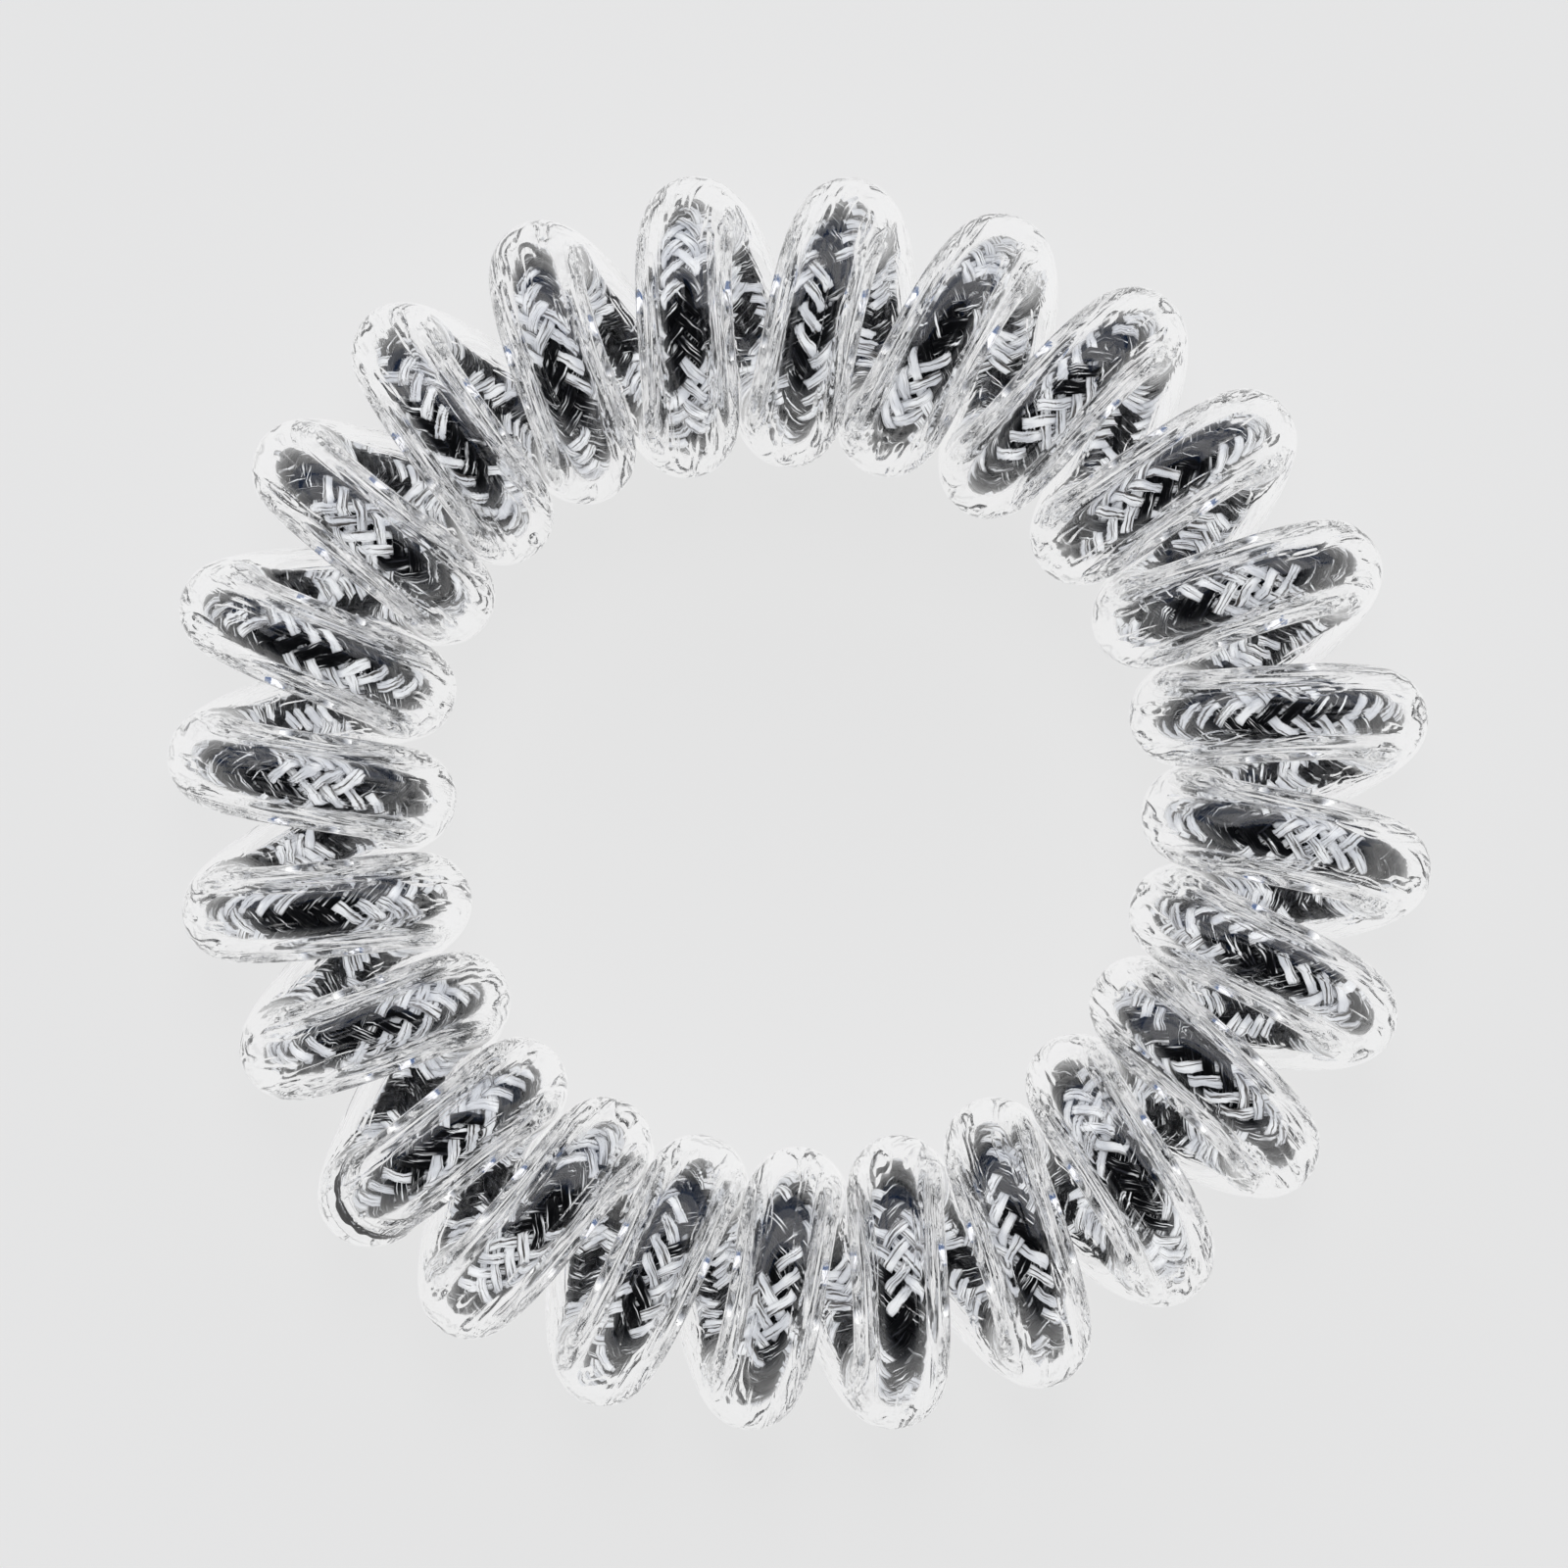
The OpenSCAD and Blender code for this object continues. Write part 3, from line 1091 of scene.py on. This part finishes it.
@dataclass
class MeltedEnd:
    """The rim of melted yarn that the weld squeezed out between the two ends of the cord.

    Attributes:
        line: The route, which starts and ends at the weld.
        finish: Its material.
        rim_d: Diameter along the middle of the rim.
        rim_t: Thickness of the rim where it is fullest, on the outer side of the loop.
        rim_w: Width of the rim there.
        least: Share of those that is left on the other side.
        spread: How fast the rim thins out to either side.
        raggedness: How uneven the rim is, as a share of its radius.
        lumps: How many lumps lie, roughly, on a length like the rim's radius.
        seed: Picks the pattern of the lumps.
        sides: Points round the rim.
        section_sides: Points round its section.
    """

    line: RouteLine
    finish: MeltedPolyester
    rim_d: float = 2.2
    rim_t: float = 0.16
    rim_w: float = 0.26
    least: float = 0.2
    spread: float = 1.2
    raggedness: float = 0.08
    lumps: float = 4.0
    seed: float = 0.3
    sides: int = 96
    section_sides: int = 10

    def build(self) -> Object:
        """Makes the rim.

        Returns:
            The rim.
        """
        start, ahead = self.line.at([0.0, self.line.route.strand_d / 10])
        run = (ahead - start).normalized()
        outward = Vector((start.x, start.y, 0.0))
        side = (outward - run * outward.dot(run)).normalized()
        cross = run.cross(side)
        points = []
        faces = []
        for i in range(self.sides):
            turn = 2 * math.pi * i / self.sides
            out = side * math.cos(turn) + cross * math.sin(turn)
            wobble = smooth_noise(Vector((math.cos(turn), math.sin(turn), self.seed)) * self.lumps)
            fullness = self.least + (1 - self.least) * math.exp(-self.spread * (1 - math.cos(turn)))
            fullness *= 1 + wobble
            radius = self.rim_d / 2 * (1 + self.raggedness * wobble)
            here = i * self.section_sides
            following = (i + 1) % self.sides * self.section_sides
            for j in range(self.section_sides):
                around = 2 * math.pi * j / self.section_sides
                reach = radius + self.rim_w / 2 * fullness * math.cos(around)
                height = self.rim_t / 2 * fullness * math.sin(around)
                points.append((start + out * reach + run * height) * MM)
                up = (j + 1) % self.section_sides
                faces.append((here + j, following + j, following + up, here + up))
        mesh = bpy.data.meshes.new("melted_cord_rim")
        mesh.from_pydata(points, [], faces)
        mesh.shade_smooth()
        mesh.materials.append(self.finish.make())
        return placed("melted_cord_rim", mesh)


@dataclass(frozen=True)
class Glow:
    """Light that comes from one part of the surroundings.

    Attributes:
        light: Its brightness.
        colour: Its colour.
    """

    light: float
    colour: str


@dataclass
class Studio:
    """The white, glowing floor, the soft light and the camera, which looks straight down.

    Attributes:
        view_w: Width of floor that the picture shows at the height of the coil's middle.
        view_middle: Where the picture's middle lies beside the middle of the tie.
        camera_h: Height of the camera.
        focus_h: Height at which the picture is as wide as view_w.
        bounces: How many times light may bend or bounce, which the many clear layers need.
        floor_w: Width of the floor.
        floor_glow: Light that the floor gives off, as a light table does.
        floor_through: The same as it is seen through the plastic, which gathers light on the floor.
        lamp_light: Brightness of the lamp above the softbox, which throws the faint shadow.
        lamp_rise: Degrees that it stands above the floor, towards twelve o'clock.
        lamp_spread: Degrees that it is wide.
        box: Light of the softbox.
        box_top: Sine of the angle at which it ends above.
        box_side: How far towards twelve o'clock it starts, as a share.
        soft: Softness of the edges of the softbox, its frame and the sky, as a share.
        sky: Light of the strip of sky under the softbox.
        sky_top: Sine of the angle up to which the sky shows.
        frame: Light of the frame along the softbox's upper edge.
        frame_w: Width of the frame, as a share.
        walls: Light of the walls.
        wall_foot: Sine of the angle up to which they are at their brightest.
        wall_top: Sine of the angle from which they are as dim as the ceiling.
        ceiling: Light of the ceiling.
    """

    view_w: float = 64.8
    view_middle: tuple[float, float] = (-0.63, 0.79)
    camera_h: float = 900.0
    focus_h: float = 6.5
    bounces: int = 24
    floor_w: float = 3000.0
    floor_glow: float = 0.72
    floor_through: float = 0.8
    lamp_light: float = 0.7
    lamp_rise: float = 68.0
    lamp_spread: float = 25.0
    box: Glow = Glow(1.35, "#F8F9FF")
    box_top: float = 0.74
    box_side: float = 0.25
    soft: float = 0.03
    sky: Glow = Glow(0.45, "#6C93D6")
    sky_top: float = 0.27
    frame: Glow = Glow(0.6, "#3B6CB4")
    frame_w: float = 0.05
    walls: Glow = Glow(1.3, "#FFFFFF")
    wall_foot: float = 0.15
    wall_top: float = 0.5
    ceiling: Glow = Glow(0.04, "#CDD5E6")

    def camera(self) -> None:
        """Sets up the camera."""
        lens = bpy.data.cameras.new("camera")
        lens.sensor_width = 36.0
        lens.lens = lens.sensor_width * (self.camera_h - self.focus_h) / self.view_w
        lens.clip_end = 10.0
        camera = placed("camera", lens)
        camera.location = Vector((*self.view_middle, self.camera_h)) * MM
        bpy.context.scene.camera = camera

    def floor(self) -> None:
        """Lays a wide sheet of matt white card under the tie."""
        half = self.floor_w / 2 * MM
        corners = [(-half, -half, 0), (half, -half, 0), (half, half, 0), (-half, half, 0)]
        mesh = bpy.data.meshes.new("floor")
        mesh.from_pydata(corners, [], [(0, 1, 2, 3)])
        material, tree = blank_material("matt_white_card")
        seen = add(tree, "ShaderNodeLightPath").outputs["Is Camera Ray"]
        glow = add(tree, "ShaderNodeMix", {0: seen, 2: self.floor_through, 3: self.floor_glow})
        look = {"Base Color": linear("#606060"), "Roughness": 0.9, "Specular IOR Level": 0.1}
        look |= {"Emission Color": linear("#FFFFFF"), "Emission Strength": glow.outputs[0]}
        shader = add(tree, "ShaderNodeBsdfPrincipled", look)
        add(tree, "ShaderNodeOutputMaterial", {"Surface": shader.outputs[0]})
        material.cycles.emission_sampling = "NONE"
        mesh.materials.append(material)
        floor = placed("floor", mesh)

    def lamp(self) -> None:
        """Hangs the lamp that throws the faint shadow, and that the plastic doesn't mirror."""
        light = bpy.data.lights.new("shadow_lamp", "SUN")
        light.energy = self.lamp_light
        light.angle = math.radians(self.lamp_spread)
        lamp = placed("shadow_lamp", light)
        lamp.rotation_euler = (math.radians(self.lamp_rise - 90.0), 0.0, 0.0)
        lamp.visible_glossy = False
        lamp.visible_transmission = False

    def _laid_over(self, tree: NodeTree, mask: Any, under: Any, over: Any) -> tuple[Any, Any]:
        """Lays one light over another where the mask is full, each a brightness and a colour.

        Args:
            tree: The tree that gets the nodes.
            mask: Share of the upper light that shows.
            under: Brightness and colour of the lower light.
            over: Brightness and colour of the upper light.

        Returns:
            Brightness and colour of both together.
        """
        level = add(tree, "ShaderNodeMix", {0: mask, 2: under[0], 3: over[0]})
        colour = add(tree, "ShaderNodeMix", {0: mask, 6: under[1], 7: over[1]}, data_type="RGBA")
        return level.outputs[0], colour.outputs[2]

    def light(self) -> None:
        """Lights the scene with a wide softbox at twelve o'clock in a dim room."""
        world = bpy.data.worlds.new("soft_room")
        bpy.context.scene.world = world
        world.use_nodes = True
        world.cycles.sampling_method = "NONE"
        tree = world.node_tree
        tree.nodes.clear()
        place = add(tree, "ShaderNodeTexCoord").outputs["Generated"]
        way = add(tree, "ShaderNodeSeparateXYZ", {0: place}).outputs
        frame_top = self.box_top + self.frame_w
        masks = []
        for axis, start, full in (
            (2, self.box_top, self.box_top - self.soft),
            (2, frame_top, frame_top - self.soft),
            (2, self.sky_top, self.sky_top - self.soft),
            (2, self.wall_foot, self.wall_top),
            (1, self.box_side, self.box_side + self.soft),
        ):
            limits = {"Value": way[axis], "From Min": start, "From Max": full}
            masks.append(add(tree, "ShaderNodeMapRange", limits).outputs[0])
        below_box_top, below_frame_top, in_sky, above_walls, in_front = masks
        on_box, on_frame = (
            add(tree, "ShaderNodeMath", {0: below, 1: in_front}, operation="MULTIPLY").outputs[0]
            for below in (below_box_top, below_frame_top)
        )
        box, sky, frame, walls, ceiling = (
            (glow.light, linear(glow.colour))
            for glow in (self.box, self.sky, self.frame, self.walls, self.ceiling)
        )
        room = self._laid_over(tree, above_walls, walls, ceiling)
        framed = self._laid_over(tree, on_frame, room, frame)
        front = self._laid_over(tree, in_sky, box, sky)
        level, colour = self._laid_over(tree, on_box, framed, front)
        background = add(tree, "ShaderNodeBackground", {"Color": colour, "Strength": level})
        add(tree, "ShaderNodeOutputWorld", {"Surface": background.outputs[0]})

    def build(self) -> None:
        """Sets up everything round the tie."""
        self.camera()
        self.floor()
        self.lamp()
        self.light()
        scene = bpy.context.scene
        scene.view_settings.view_transform = "Standard"
        scene.cycles.max_bounces = self.bounces
        scene.cycles.transmission_bounces = self.bounces
        scene.cycles.glossy_bounces = self.bounces


def main() -> None:
    """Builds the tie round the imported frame."""
    logging.basicConfig(level=logging.INFO, format="%(name)s: %(message)s")
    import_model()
    Studio().build()
    low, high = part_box("clear_coil")
    route = CoilRoute(strand_d=STRAND_D, coil_h=(high.z - low.z) / MM)
    line = RouteLine(route)
    strand = ClearStrand(line, ClearPolyurethane(), bore_d=CORD_D + 2 * CORD_ROOM).build()
    yarns = BraidedCord(line, YARNS, cord_d=CORD_D).build()
    rim = MeltedEnd(line, MeltedPolyester()).build()
    for piece in [strand, *yarns, rim]:
        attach(piece, "root")
        own = "clear_coil" if piece is strand else "braided_core"
        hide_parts(own)
        triangles = sum(len(face.vertices) - 2 for face in piece.data.polygons)
        LOG.info("%s: %d triangles", piece.name, triangles)


if __name__ == "__main__":
    main()
